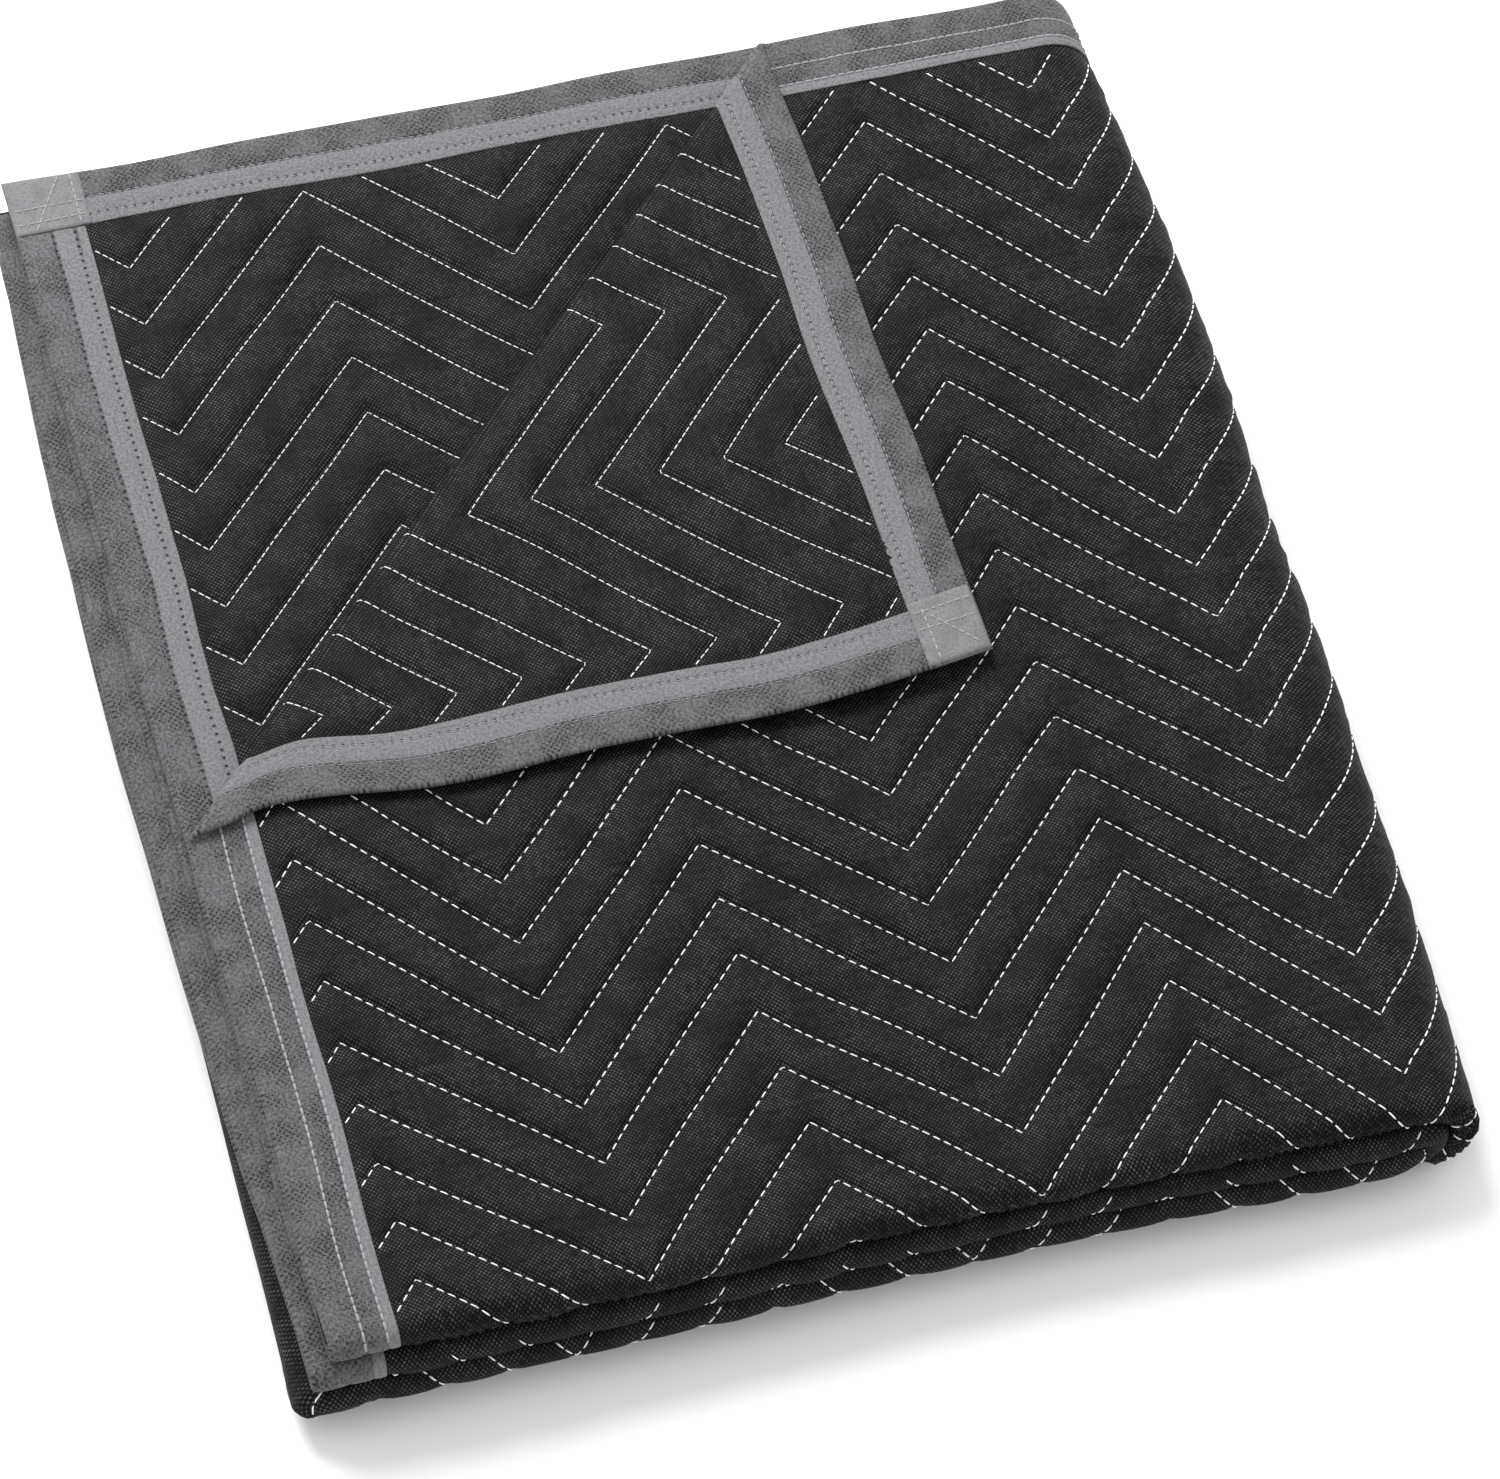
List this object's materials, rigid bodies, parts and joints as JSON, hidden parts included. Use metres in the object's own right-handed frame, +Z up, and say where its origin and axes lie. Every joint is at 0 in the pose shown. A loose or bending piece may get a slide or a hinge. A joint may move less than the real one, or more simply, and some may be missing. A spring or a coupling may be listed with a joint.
{
  "type": "quilted moving pad",
  "caption": "Quilted moving pad with bound edges, folded into a flat rectangular pile with its top corner turned back, for wrapping furniture in transit.",
  "frame": {"origin": "middle of the underside of the folded pad's bounding box", "axes": "+Z up off the surface it lies on, +Y along the folded length to the bound far edge, +X across to the wide fold"},
  "size_m": [0.4454, 0.5224, 0.0587],
  "materials": {
    "cloth": "matte woven black cloth, quilted in zigzags with white thread",
    "binding": "matte grey felted non-woven tape, stitched down in two lines",
    "corner_patch": "matte grey felted non-woven patch, cross-stitched"
  },
  "bodies": {
    "root": {"pad": "cloth", "binding_left_top": "binding", "binding_left_second": "binding", "binding_far_top": "binding", "binding_far_second": "binding", "corner_patch_1": "corner_patch", "corner_patch_2": "corner_patch", "corner_patch_3": "corner_patch", "corner_patch_4": "corner_patch"}
  },
  "joints": []
}
